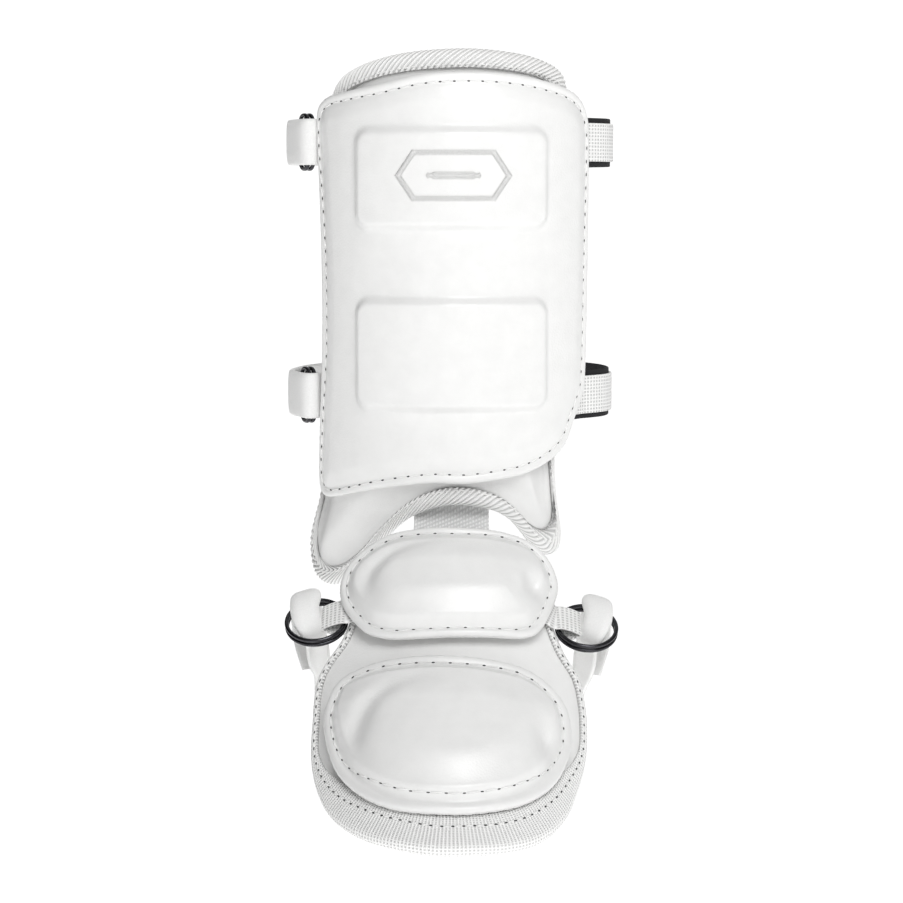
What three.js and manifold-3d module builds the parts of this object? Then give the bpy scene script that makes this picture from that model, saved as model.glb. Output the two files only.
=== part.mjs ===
import * as THREE from 'three';
import { mergeVertices } from 'three/addons/utils/BufferGeometryUtils.js';
import Module from 'manifold-3d';

const wasm = await Module();
wasm.setup();

// Frame: millimetres, +Z up the shin, -Y out to the front, +X to the viewer's right.
// The origin is on the shin pad's inner face, at the middle of the leg, near half its height.

// Shin pad, a padded sheet bent round the leg
const shinInnerRadius = 68;
const shinHalfWidth = 80;
const shinTop = 135.5;
const shinDrop = 144.7;
const padThickness = 12;
const rimThickness = 7;
const rimWidth = 26;
const padFlare = 5;

// Clearances between pieces
const seatGap = 0.9;
const trimGap = 0.35;

// Edge tapes
const tapeThickness = 1.4;
const shinTapeWidth = 10;
const footTapeWidth = 6;
const toeTapeWidth = 19;

// Shin cover, a stiff shell in leather with two raised panels
const coverHalfWidth = 80;
const coverTop = 123;
const coverDrop = 101;
const coverThickness = 5.5;
const coverRimThickness = 3.8;
const panelRise = 3.5;
const panelHalfWidth = 49.8;
const panelCorner = 9;
const upperPanelMiddle = 68.5;
const upperPanelHeight = 54;
const lowerPanelMiddle = -23;
const lowerPanelHeight = 60;

// Foot guard, a tongue that slopes down over the foot
const footTopForward = 4;
const footTopDrop = 100;
const footTopSlope = 50;
const footToeSlope = 38;
const footLength = 218;
const footCrownRadius = 95;
const footHalfWidth = 75;
const baseThickness = 4;
const instepHalfWidth = 52.3;
const instepMiddle = 60;
const instepHalfLength = 34;
const toeHalfWidth = 60.5;
const toeMiddle = 151;
const toeHalfLength = 47.8;
const guardPadThickness = 5;
const guardRimWidth = 7;
const guardDomeRise = 9;

// Straps and their metal rings
const upperStrapHeight = 88;
const lowerStrapHeight = -47.5;
const webbingWidth = 20.5;
const webbingThickness = 1.3;
const liningWidth = 26;
const liningThickness = 1.2;
const strapWidth = 24.5;
const strapThickness = 2.2;
const strapStandOff = 6;
const strapBackRadius = 64;
const strapLeftInset = 3.5;
const ringWire = 2.4;
const shinRingHeight = 31;
const shinRingWidth = 17;
const footRingDiameter = 33;
const footRingShare = 0.265;
const footRingOut = 69.5;
const footRingSinkLeft = 17;
const footRingSinkRight = 20;
const footRingSlope = 33;
const footTabWidth = 17;
const footRingRoll = 4;
const soleStart = 20;
const footStrapDrop = 66;
const connectorWidth = 40;
const connectorThickness = 1.6;

// How many spokes an outline gets for each row of its table
const sampling = 1.6;

const legAxisDepth = shinInnerRadius;
const shinOuterRadius = shinInnerRadius + padThickness;
const strapSideRadius = shinOuterRadius + strapStandOff;
const rad = THREE.MathUtils.degToRad;

// Colours of the finishes
const colours = {
  leather: 0xf2f2f2, foam: 0xeeeeee, tape: 0xe8e8e8, webbing: 0xededed, lining: 0x18181a,
  elastic: 0xbdbdbd, metal: 0x4a4a4d,
};

const guard = new THREE.Group();

function addPiece(name, geometry, colour, roughness, metalness = 0) {
  const material = new THREE.MeshStandardMaterial({ color: colour, roughness, metalness });
  const piece = new THREE.Mesh(geometry, material);
  piece.name = name;
  guard.add(piece);
}

// Keeps the position only, so that shared corners become one
function weld(geometry) {
  geometry.deleteAttribute('normal');
  geometry.deleteAttribute('uv');
  const merged = mergeVertices(geometry, 1e-4);
  const index = merged.index.array;
  const kept = [];
  for (let i = 0; i < index.length; i += 3) {
    const [a, b, c] = [index[i], index[i + 1], index[i + 2]];
    if (a !== b && b !== c && c !== a) kept.push(a, b, c);
  }
  merged.setIndex(kept);
  return merged;
}

// Turns a closed shell so that its faces point outwards
function faceOutwards(geometry) {
  const welded = weld(geometry);
  const position = welded.attributes.position;
  const index = welded.index.array;
  const [a, b, c] = [new THREE.Vector3(), new THREE.Vector3(), new THREE.Vector3()];
  let volume = 0;
  for (let i = 0; i < index.length; i += 3) {
    a.fromBufferAttribute(position, index[i]);
    b.fromBufferAttribute(position, index[i + 1]);
    c.fromBufferAttribute(position, index[i + 2]);
    volume += a.dot(b.cross(c));
  }
  if (volume < 0) {
    for (let i = 0; i < index.length; i += 3) {
      [index[i + 1], index[i + 2]] = [index[i + 2], index[i + 1]];
    }
  }
  welded.computeVertexNormals();
  return welded;
}

function joined(first, ...others) {
  const toSolid = (geometry) => new wasm.Manifold(new wasm.Mesh({
    numProp: 3,
    vertProperties: new Float32Array(geometry.attributes.position.array),
    triVerts: new Uint32Array(geometry.index.array),
  }));
  let solid = toSolid(first);
  for (const other of others) solid = solid.add(toSolid(other));
  const mesh = solid.getMesh();
  const geometry = new THREE.BufferGeometry();
  geometry.setAttribute('position', new THREE.BufferAttribute(mesh.vertProperties, 3));
  geometry.setIndex(new THREE.BufferAttribute(mesh.triVerts, 1));
  geometry.computeVertexNormals();
  return geometry;
}

function smoothStep(value, start, end) {
  return THREE.MathUtils.smoothstep(value, start, end);
}

// A closed smooth outline through the rows of a table: shares of a half width, and of the
// height above or below the middle
function outlineFrom(rows, size) {
  const points = rows.map(([across, along]) => new THREE.Vector3(
    across * size.halfWidth,
    size.middle + along * (along > 0 ? size.up : size.down),
    0,
  ));
  return new THREE.CatmullRomCurve3(points, true, 'centripetal');
}

// The spokes of an outline: its points, and how far one goes in along the spoke for each
// millimetre square to the edge
function spokesOf(outline, middle, count) {
  const spokes = [];
  for (let i = 0; i < count; i += 1) {
    const point = outline.getPoint(i / count);
    const tangent = outline.getTangent(i / count);
    const arm = new THREE.Vector3(point.x, point.y - middle, 0);
    const reach = arm.length();
    const slant = Math.abs(arm.x * tangent.y - arm.y * tangent.x) / reach;
    spokes.push({ arm, reach, inward: 1 / Math.max(slant, 0.6) });
  }
  return spokes;
}

// A slab or a ring of tape on a bent surface. Each row of the section gives the share of
// the way out from the middle, the distance in from the edge and the height off the surface.
function shellOn(place, spokes, middle, section, width = () => 1) {
  const profile = section.map((row) => new THREE.Vector2(row.share, row.lift));
  const geometry = new THREE.LatheGeometry(profile, spokes.length);
  const position = geometry.attributes.position;
  for (let i = 0; i <= spokes.length; i += 1) {
    const spoke = spokes[i % spokes.length];
    for (let j = 0; j < section.length; j += 1) {
      const row = section[j];
      const edgeAlong = middle + spoke.arm.y;
      const inset = row.inset * spoke.inward * (row.stretch ? width(edgeAlong) : 1);
      const share = row.share * (1 - inset / spoke.reach);
      const across = spoke.arm.x * share;
      const along = middle + spoke.arm.y * share;
      const point = place(across, along, row.lift);
      position.setXYZ(i * section.length + j, point.x, point.y, point.z);
    }
  }
  return faceOutwards(geometry);
}

// The pad's lower corners stand off the ankle
function flareAt(across, height) {
  return padFlare * smoothStep(-height, 0.68 * shinDrop, 0.9 * shinDrop)
    * smoothStep(Math.abs(across), 0.5 * shinHalfWidth, 1.1 * shinHalfWidth);
}

// Places on the shin: across is measured round the pad's outer face
function onShin(across, height, lift) {
  const turn = across / shinOuterRadius;
  const radius = shinInnerRadius + lift + flareAt(across, height);
  return new THREE.Vector3(
    radius * Math.sin(turn),
    legAxisDepth - radius * Math.cos(turn),
    height,
  );
}

// The foot guard's line down the middle of the foot, and its slope there
function footLine(along) {
  const steepest = rad(footTopSlope);
  const change = (rad(footToeSlope) - steepest) / footLength;
  const slope = steepest + change * along;
  const forward = (Math.sin(slope) - Math.sin(steepest)) / change;
  const down = (Math.cos(steepest) - Math.cos(slope)) / change;
  return { y: -footTopForward - forward, z: -footTopDrop - down, slope };
}

// Places on the foot guard: across is measured round its arched face
function onFoot(across, along, lift) {
  const line = footLine(along);
  const turn = across / footCrownRadius;
  const radius = footCrownRadius + lift;
  const rise = radius * Math.cos(turn) - footCrownRadius;
  return new THREE.Vector3(
    radius * Math.sin(turn),
    line.y - rise * Math.sin(line.slope),
    line.z + rise * Math.cos(line.slope),
  );
}

// Outlines. Each row: share of the half width, share of the height up or down.
const shinOutline = [
  [-1.2, -0.66], [-1.26, -0.87], [-1.25, -0.96], [-1.17, -1.02], [-1.0, -1.04],
  [-0.84, -1.01], [-0.71, -0.95], [-0.53, -0.853], [-0.28, -0.754], [0, -0.713],
  [0.30, -0.734], [0.45, -0.774], [0.57, -0.83], [0.67, -0.885], [0.76, -0.915],
  [0.83, -0.9], [0.86, -0.85], [0.83, -0.594], [0.86, -0.28], [0.94, 0.1],
  [0.93, 0.55], [0.95, 0.84], [0.91, 0.915], [0.70, 0.965], [0.22, 1.0], [-0.24, 0.993],
  [-0.51, 0.971], [-0.74, 0.938], [-0.90, 0.9], [-1.0, 0.84], [-1.03, 0.74],
  [-1.01, 0.37], [-1.02, 0.0], [-1.08, -0.35],
];
const coverOutline = [
  [-1.01, -0.7], [-1.018, -0.9], [-1.0, -0.965], [-0.95, -0.998], [-0.86, -0.997],
  [-0.47, -0.93], [-0.13, -0.893], [0.08, -0.896], [0.28, -0.88], [0.47, -0.855],
  [0.64, -0.806], [0.77, -0.744], [0.83, -0.694], [0.9, -0.587], [0.96, -0.51],
  [1.01, -0.433], [1.03, -0.3], [1.045, 0.01], [1.055, 0.3], [1.06, 0.65],
  [1.05, 0.8], [0.99, 0.872], [0.89, 0.92], [0.57, 0.975], [0.28, 0.998],
  [-0.04, 0.999], [-0.2, 0.989], [-0.49, 0.95], [-0.75, 0.923], [-0.91, 0.902],
  [-1.0, 0.864], [-1.025, 0.8], [-1.005, 0.6], [-0.975, 0.25], [-0.97, -0.18],
];
const instepOutline = [
  [-1.03, -0.21], [-0.97, -0.52], [-0.79, -0.79], [-0.55, -0.96], [-0.26, -1.0],
  [0.05, -0.995], [0.49, -0.97], [0.75, -0.85], [0.91, -0.59], [0.98, -0.21],
  [0.94, 0.1], [0.82, 0.6], [0.745, 0.77], [0.62, 0.885], [0.38, 0.95], [0.01, 0.99],
  [-0.31, 0.985], [-0.53, 0.938], [-0.725, 0.78], [-0.84, 0.58], [-0.99, 0.15],
];
const toeOutline = [
  [-1.03, -0.36], [-1.02, -0.62], [-0.91, -0.89], [-0.64, -0.99], [-0.3, -1.0],
  [0.0, -0.985], [0.34, -0.955], [0.6, -0.9], [0.79, -0.76], [0.92, -0.55],
  [0.955, -0.2], [0.9, 0.14], [0.77, 0.49], [0.57, 0.76], [0.38, 0.9], [0.08, 1.0],
  [-0.29, 0.95], [-0.5, 0.83], [-0.71, 0.6], [-0.9, 0.24],
];
// The foot base runs on under the instep pad. Lengths are shares of the foot's length.
const baseOutline = [
  [-0.76, 0.353], [-0.97, 0.44], [-1.01, 0.56], [-1.005, 0.66], [-0.945, 0.748],
  [-0.805, 0.845], [-0.57, 0.928], [-0.335, 0.975], [-0.11, 0.999], [0.08, 1.0],
  [0.33, 0.984], [0.55, 0.943], [0.75, 0.86], [0.88, 0.752], [0.955, 0.66],
  [0.975, 0.573], [0.965, 0.513], [0.92, 0.45], [0.79, 0.391], [0.69, 0.31],
  [0.65, 0.22], [0.54, 0.16], [0.3, 0.13], [0, 0.125], [-0.3, 0.13], [-0.54, 0.16],
  [-0.65, 0.22], [-0.69, 0.29],
];

// Shin pad: full in the middle, pressed thin along its rim
const shinSpokes = spokesOf(
  outlineFrom(shinOutline, { halfWidth: shinHalfWidth, middle: 0, up: shinTop, down: shinDrop }),
  0,
  Math.round(sampling * shinOutline.length),
);
const padInset = tapeThickness + trimGap;
const rimRound = rimThickness / 2;
addPiece('shin_pad', shellOn(onShin, shinSpokes, 0, [
  { share: 0, inset: 0, lift: 0 },
  { share: 0.3, inset: 0, lift: 0 },
  { share: 0.6, inset: 0, lift: 0 },
  { share: 0.82, inset: 0, lift: 0 },
  { share: 1, inset: shinTapeWidth + 1, lift: 0 },
  { share: 1, inset: padInset + rimRound, lift: 0 },
  { share: 1, inset: padInset, lift: rimRound },
  { share: 1, inset: padInset + rimRound, lift: rimThickness },
  { share: 1, inset: rimWidth, lift: rimThickness },
  { share: 0.88, inset: rimWidth, lift: padThickness },
  { share: 0.55, inset: 0, lift: padThickness },
  { share: 0.28, inset: 0, lift: padThickness },
  { share: 0, inset: 0, lift: padThickness },
]), colours.foam, 0.6);

// The section of an edge tape folded over an edge of the given thickness
function tapeSection(width, edge) {
  const half = edge / 2;
  const outer = tapeThickness + trimGap;
  const rows = [
    { share: 1, stretch: true, inset: width, lift: edge + trimGap },
    { share: 1, stretch: true, inset: width, lift: edge + outer },
    { share: 1, stretch: false, inset: tapeThickness + 0.7 * half, lift: edge + outer },
    { share: 1, stretch: false, inset: 0, lift: half },
    { share: 1, stretch: false, inset: tapeThickness + 0.7 * half, lift: -outer },
    { share: 1, stretch: true, inset: width, lift: -outer },
    { share: 1, stretch: true, inset: width, lift: -trimGap },
    { share: 1, stretch: false, inset: outer + half, lift: -trimGap },
    { share: 1, stretch: false, inset: tapeThickness, lift: half },
    { share: 1, stretch: false, inset: outer + half, lift: edge + trimGap },
  ];
  return [...rows, rows[0]];
}
addPiece('shin_pad_binding', shellOn(onShin, shinSpokes, 0,
  tapeSection(shinTapeWidth, rimThickness)), colours.tape, 0.9);

// Shin cover
const coverLift = padThickness + seatGap;
const coverSpokes = spokesOf(
  outlineFrom(coverOutline, {
    halfWidth: coverHalfWidth, middle: 0, up: coverTop, down: coverDrop,
  }),
  0,
  Math.round(sampling * coverOutline.length),
);
const coverRound = coverRimThickness / 2;
const coverPlate = shellOn(onShin, coverSpokes, 0, [
  { share: 0, inset: 0, lift: coverLift },
  { share: 0.25, inset: 0, lift: coverLift },
  { share: 0.48, inset: 0, lift: coverLift },
  { share: 0.7, inset: 0, lift: coverLift },
  { share: 0.86, inset: 0, lift: coverLift },
  { share: 1, inset: coverRound, lift: coverLift },
  { share: 1, inset: 0, lift: coverLift + coverRound },
  { share: 1, inset: coverRound, lift: coverLift + coverRimThickness },
  { share: 1, inset: 3 * coverRimThickness, lift: coverLift + coverThickness },
  { share: 0.75, inset: 0, lift: coverLift + coverThickness },
  { share: 0.5, inset: 0, lift: coverLift + coverThickness },
  { share: 0.25, inset: 0, lift: coverLift + coverThickness },
  { share: 0, inset: 0, lift: coverLift + coverThickness },
]);

// A raised panel with round corners and sloping sides
function raisedPanel(middle, height) {
  const halfHeight = height / 2;
  const outline = new THREE.Shape();
  const left = -panelHalfWidth + panelCorner;
  const right = panelHalfWidth - panelCorner;
  const low = middle - halfHeight + panelCorner;
  const high = middle + halfHeight - panelCorner;
  outline.absarc(right, high, panelCorner, 0, Math.PI / 2);
  outline.absarc(left, high, panelCorner, Math.PI / 2, Math.PI);
  outline.absarc(left, low, panelCorner, Math.PI, 1.5 * Math.PI);
  outline.absarc(right, low, panelCorner, 1.5 * Math.PI, 2 * Math.PI);
  const corners = outline.getSpacedPoints(32);
  corners.pop();
  const loop = new THREE.CatmullRomCurve3(
    corners.map((point) => new THREE.Vector3(point.x, point.y, 0)), true, 'centripetal',
  );
  const bottom = coverLift + coverThickness / 2;
  const top = coverLift + coverThickness + panelRise;
  return shellOn(onShin, spokesOf(loop, middle, corners.length), middle, [
    { share: 0, inset: 0, lift: bottom },
    { share: 0.5, inset: 0, lift: bottom },
    { share: 1, inset: 0, lift: bottom },
    { share: 1, inset: 0, lift: top - panelRise },
    { share: 1, inset: panelRise * 0.5, lift: top - panelRise * 0.3 },
    { share: 1, inset: panelRise * 1.6, lift: top },
    { share: 0.6, inset: 0, lift: top },
    { share: 0.3, inset: 0, lift: top },
    { share: 0, inset: 0, lift: top },
  ]);
}
addPiece('shin_cover', joined(
  coverPlate,
  raisedPanel(upperPanelMiddle, upperPanelHeight),
  raisedPanel(lowerPanelMiddle, lowerPanelHeight),
), colours.leather, 0.45);

// Foot base and its edge tape, wide round the toe and narrow up the sides
const baseMiddle = 0.58 * footLength;
const baseSpokes = spokesOf(
  outlineFrom(baseOutline, {
    halfWidth: footHalfWidth, middle: 0, up: footLength, down: footLength,
  }),
  baseMiddle,
  Math.round(sampling * baseOutline.length),
);
const baseRound = baseThickness / 2;
addPiece('foot_base', shellOn(onFoot, baseSpokes, baseMiddle, [
  { share: 0, inset: 0, lift: 0 },
  { share: 0.35, inset: 0, lift: 0 },
  { share: 0.7, inset: 0, lift: 0 },
  { share: 0.85, inset: 0, lift: 0 },
  { share: 1, inset: footTapeWidth + 1, lift: 0 },
  { share: 1, inset: padInset + baseRound, lift: 0 },
  { share: 1, inset: padInset, lift: baseRound },
  { share: 1, inset: padInset + baseRound, lift: baseThickness },
  { share: 0.85, inset: 0, lift: baseThickness },
  { share: 0.7, inset: 0, lift: baseThickness },
  { share: 0.35, inset: 0, lift: baseThickness },
  { share: 0, inset: 0, lift: baseThickness },
]), colours.leather, 0.5);
const toeStretch = (along) => 1 + (toeTapeWidth / footTapeWidth - 1)
  * smoothStep(along, 0.76 * footLength, 0.92 * footLength);
addPiece('foot_base_binding', shellOn(onFoot, baseSpokes, baseMiddle,
  tapeSection(footTapeWidth, baseThickness), toeStretch), colours.tape, 0.9);

// Domed pads on the foot base, each with a flat sewn rim
const toePadLift = baseThickness + 2 * trimGap + tapeThickness;
const instepPadLift = toePadLift + webbingThickness + 5 * trimGap;
function domedPad(rows, size, guardPadLift) {
  const spokes = spokesOf(outlineFrom(rows, size), size.middle, 2 * rows.length);
  const edge = guardPadThickness / 2;
  const rim = guardPadLift + guardPadThickness;
  return shellOn(onFoot, spokes, size.middle, [
    { share: 0, inset: 0, lift: guardPadLift },
    { share: 0.35, inset: 0, lift: guardPadLift },
    { share: 0.7, inset: 0, lift: guardPadLift },
    { share: 1, inset: edge, lift: guardPadLift },
    { share: 1, inset: 0, lift: guardPadLift + edge },
    { share: 1, inset: edge, lift: rim },
    { share: 1, inset: guardRimWidth, lift: rim },
    { share: 0.82, inset: 0.5 * guardRimWidth, lift: rim + 0.5 * guardDomeRise },
    { share: 0.66, inset: 0.4 * guardRimWidth, lift: rim + 0.82 * guardDomeRise },
    { share: 0.4, inset: 0, lift: rim + 0.97 * guardDomeRise },
    { share: 0, inset: 0, lift: rim + guardDomeRise },
  ]);
}
addPiece('instep_pad', domedPad(instepOutline, {
  halfWidth: instepHalfWidth, middle: instepMiddle, up: instepHalfLength, down: instepHalfLength,
}, instepPadLift), colours.leather, 0.35);
addPiece('toe_pad', domedPad(toeOutline, {
  halfWidth: toeHalfWidth, middle: toeMiddle, up: toeHalfLength, down: toeHalfLength,
}, toePadLift), colours.leather, 0.35);

// A flat band swept through stations, each with a place and the direction of its width
function ribbon(stations, width, thickness, steps) {
  const path = new THREE.CatmullRomCurve3(stations.map((station) => station.at));
  const sides = new THREE.CatmullRomCurve3(stations.map((station) => station.side));
  const gather = new THREE.CatmullRomCurve3(
    stations.map((station) => new THREE.Vector3(station.spread ?? 1, 0, 0)),
  );
  const geometry = new THREE.BoxGeometry(1, 1, 1, 1, steps, 1);
  const position = geometry.attributes.position;
  for (let i = 0; i < position.count; i += 1) {
    const share = position.getY(i) + 0.5;
    const along = path.getTangent(share);
    const side = sides.getPoint(share);
    side.addScaledVector(along, -side.dot(along)).normalize();
    const face = new THREE.Vector3().crossVectors(along, side);
    const point = path.getPoint(share)
      .addScaledVector(side, position.getX(i) * width * gather.getPoint(share).x)
      .addScaledVector(face, position.getZ(i) * thickness);
    position.setXYZ(i, point.x, point.y, point.z);
  }
  return faceOutwards(geometry);
}

const up = new THREE.Vector3(0, 0, 1);
function roundLeg(turn, radius, height) {
  return {
    at: new THREE.Vector3(
      radius * Math.sin(rad(turn)),
      legAxisDepth - radius * Math.cos(rad(turn)),
      height,
    ),
    side: up,
  };
}

// A closed ring of wire, its middle line an oval with blunt ends
function wireRing(frame, width, height, squareness) {
  const geometry = new THREE.TorusGeometry(1, 0.5, 5, 16);
  const position = geometry.attributes.position;
  const power = 2 / squareness;
  const halfWidth = (width - ringWire) / 2;
  const halfHeight = (height - ringWire) / 2;
  const middleLine = (turn) => new THREE.Vector3(
    halfWidth * Math.sign(Math.cos(turn)) * Math.abs(Math.cos(turn)) ** power,
    halfHeight * Math.sign(Math.sin(turn)) * Math.abs(Math.sin(turn)) ** power,
    0,
  );
  for (let i = 0; i < position.count; i += 1) {
    const turn = Math.atan2(position.getY(i), position.getX(i));
    const outward = 2 * (Math.hypot(position.getX(i), position.getY(i)) - 1);
    const aside = 2 * position.getZ(i);
    const centre = middleLine(turn);
    const along = middleLine(turn + 0.02).sub(middleLine(turn - 0.02)).normalize();
    const normal = new THREE.Vector3(along.y, -along.x, 0);
    centre.addScaledVector(normal, outward * ringWire / 2);
    centre.z += aside * ringWire / 2;
    centre.applyMatrix4(frame);
    position.setXYZ(i, centre.x, centre.y, centre.z);
  }
  return faceOutwards(geometry);
}

// Shin straps: webbing and its lining start under the cover's right edge, the padded
// end comes round the back, folds through a pair of rings at the left and lies on itself
const trimLift = rimThickness + trimGap + tapeThickness + trimGap;
const liningStart = shinInnerRadius + trimLift + liningThickness / 2;
// The loop's radius about the leg's axis, by the turn in degrees from the front.
// It is an oval, flatter behind the calf, and drawn in a little at the left.
function loopRadius(turn) {
  const share = smoothStep(180 - Math.abs(180 - turn), 80, 180);
  return THREE.MathUtils.lerp(strapSideRadius, strapBackRadius, share);
}
const leftRadius = (turn) => loopRadius(turn)
  - strapLeftInset * (1 - smoothStep(turn, 100, 150));
const webbingOut = (liningThickness + webbingThickness) / 2 + trimGap;
// Where the webbing ends behind the calf, and how far the padded end laps over it
const webbingEnd = 196;
const seamTurn = 360 - webbingEnd - 1;
const lapTurn = seamTurn + 13;
const ringTurn = 65.5;
const ringRadius = strapSideRadius - strapLeftInset + 1.2;
const ringPitch = ringWire + trimGap;
const shinStraps = [['upper', upperStrapHeight], ['lower', lowerStrapHeight]];
for (const [place, height] of shinStraps) {
  const band = (out, turns) => turns.map(([turn, share]) => roundLeg(
    turn,
    THREE.MathUtils.lerp(liningStart, loopRadius(turn) + liningThickness / 2, share) + out,
    height,
  ));
  const startTurns = [
    [41, 0], [50, 0], [60, 0], [63.5, 0.07], [68, 0.38], [76, 0.84], [86, 1], [100, 1],
    [116, 1], [132, 1], [148, 1], [164, 1], [180, 1], [webbingEnd, 1],
  ];
  addPiece(`shin_strap_${place}_lining`,
    ribbon(band(0, startTurns), liningWidth, liningThickness, 24), colours.lining, 0.95);
  addPiece(`shin_strap_${place}_webbing`,
    ribbon(band(webbingOut, startTurns), webbingWidth, webbingThickness, 24),
    colours.webbing, 0.9);

  const rearBar = shinRingWidth / 2 - ringWire / 2;
  const rearTurn = ringTurn + THREE.MathUtils.radToDeg(rearBar / ringRadius);
  const inner = ringRadius - ringWire / 2 - trimGap - strapThickness / 2;
  const outer = ringRadius + ringPitch + ringWire / 2 + trimGap + strapThickness / 2;
  const onLoop = (turn, layer = 0) => [
    turn, leftRadius(turn) + strapThickness / 2 + layer * (strapThickness + trimGap),
  ];
  const seamRadius = (turn) => loopRadius(turn) + liningThickness + webbingThickness
    + 2.6 * trimGap + strapThickness / 2;
  const endTurns = [
    [lapTurn, seamRadius(lapTurn)], [seamTurn, seamRadius(seamTurn)],
    onLoop(150), onLoop(132), onLoop(116), onLoop(102), onLoop(90),
    [79, inner + 0.6], [rearTurn, inner], [rearTurn - 3.2, inner + 0.6],
    [rearTurn - 4.6, (inner + outer) / 2], [rearTurn - 3.2, outer - 0.6], [rearTurn, outer],
    [79, outer + 0.3], onLoop(90, 1.4), onLoop(102, 1.1), onLoop(114, 1.1), onLoop(126, 1.1),
  ];
  addPiece(`shin_strap_${place}`,
    ribbon(endTurns.map(([turn, radius]) => roundLeg(-turn, radius, height)),
      strapWidth, strapThickness, 46), colours.webbing, 0.85);

  for (const [order, number] of [[0, 'inner'], [1, 'outer']]) {
    const radius = ringRadius + order * ringPitch;
    const frame = new THREE.Matrix4().makeBasis(
      new THREE.Vector3(Math.cos(rad(ringTurn)), -Math.sin(rad(ringTurn)), 0),
      up,
      new THREE.Vector3(-Math.sin(rad(ringTurn)), -Math.cos(rad(ringTurn)), 0),
    ).setPosition(roundLeg(-ringTurn, radius, height).at);
    addPiece(`shin_ring_${place}_${number}`,
      wireRing(frame, shinRingWidth, shinRingHeight, 2.8), colours.metal, 0.3, 1);
  }

  // The tab that holds the rings, from under the cover's left edge and round their front bars
  const frontTurn = ringTurn - (rearTurn - ringTurn);
  const tabIn = shinInnerRadius + trimLift + webbingThickness / 2;
  const tabInner = ringRadius - ringWire / 2 - trimGap - webbingThickness / 2;
  const tabOuter = ringRadius + ringPitch + ringWire / 2 + trimGap + webbingThickness / 2;
  const tabTurns = [
    [44, tabIn], [48, tabIn], [52, tabIn], [55.5, tabIn + 0.4], [frontTurn - 0.6, tabInner - 0.6],
    [frontTurn + 2.0, tabInner + 0.5], [frontTurn + 2.9, (tabInner + tabOuter) / 2],
    [frontTurn + 2.0, tabOuter - 0.5], [frontTurn, tabOuter], [frontTurn - 0.9, tabOuter - 0.1],
  ];
  addPiece(`shin_ring_tab_${place}`,
    ribbon(tabTurns.map(([turn, radius]) => roundLeg(-turn, radius, height)),
      webbingWidth, webbingThickness, 24), colours.webbing, 0.9);
}

// Connector band, from behind the shin pad's arch to under the foot base
const across = new THREE.Vector3(1, 0, 0);
const bandBack = (radius) => connectorWidth ** 2 / (8 * radius) + connectorThickness / 2
  + tapeThickness + 2 * trimGap;
const shinBack = bandBack(shinInnerRadius);
const footBack = bandBack(footCrownRadius);
const connectorPlaces = [
  new THREE.Vector3(0, shinBack - tapeThickness, -0.52 * footTopDrop),
  new THREE.Vector3(0, shinBack - 0.6 * tapeThickness, -0.7 * footTopDrop),
  new THREE.Vector3(0, shinBack, -0.88 * footTopDrop),
  new THREE.Vector3(0, shinBack, -1.0 * footTopDrop),
  new THREE.Vector3(0, shinBack - 0.8, -1.09 * footTopDrop),
  onFoot(0, 0.12 * footLength, -footBack - 0.8),
  onFoot(0, 0.19 * footLength, -footBack + 0.3 * tapeThickness),
  onFoot(0, 0.26 * footLength, -footBack + tapeThickness),
];
addPiece('connector_band', ribbon(connectorPlaces.map((at) => ({ at, side: across })),
  connectorWidth, connectorThickness, 20), colours.elastic, 0.9);

// Foot rings: a pair on each side of the instep, lying along the slope of the foot
const slopeOut = new THREE.Vector3(0, -Math.sin(rad(footRingSlope)), Math.cos(rad(footRingSlope)));
const slopeUp = new THREE.Vector3(0, Math.cos(rad(footRingSlope)), Math.sin(rad(footRingSlope)));
function ringFrame(hand, sink) {
  const roll = rad(footRingRoll);
  const outward = across.clone().multiplyScalar(hand * Math.cos(roll))
    .addScaledVector(slopeOut, -Math.sin(roll));
  const face = across.clone().multiplyScalar(hand * Math.sin(roll))
    .addScaledVector(slopeOut, Math.cos(roll));
  const beside = footLine(footRingShare * footLength);
  const middle = new THREE.Vector3(hand * footRingOut, beside.y, beside.z - sink);
  const at = (out, upward, lift) => middle.clone().addScaledVector(outward, out)
    .addScaledVector(slopeUp, upward).addScaledVector(face, lift);
  return { outward, face, middle, at };
}

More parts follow.
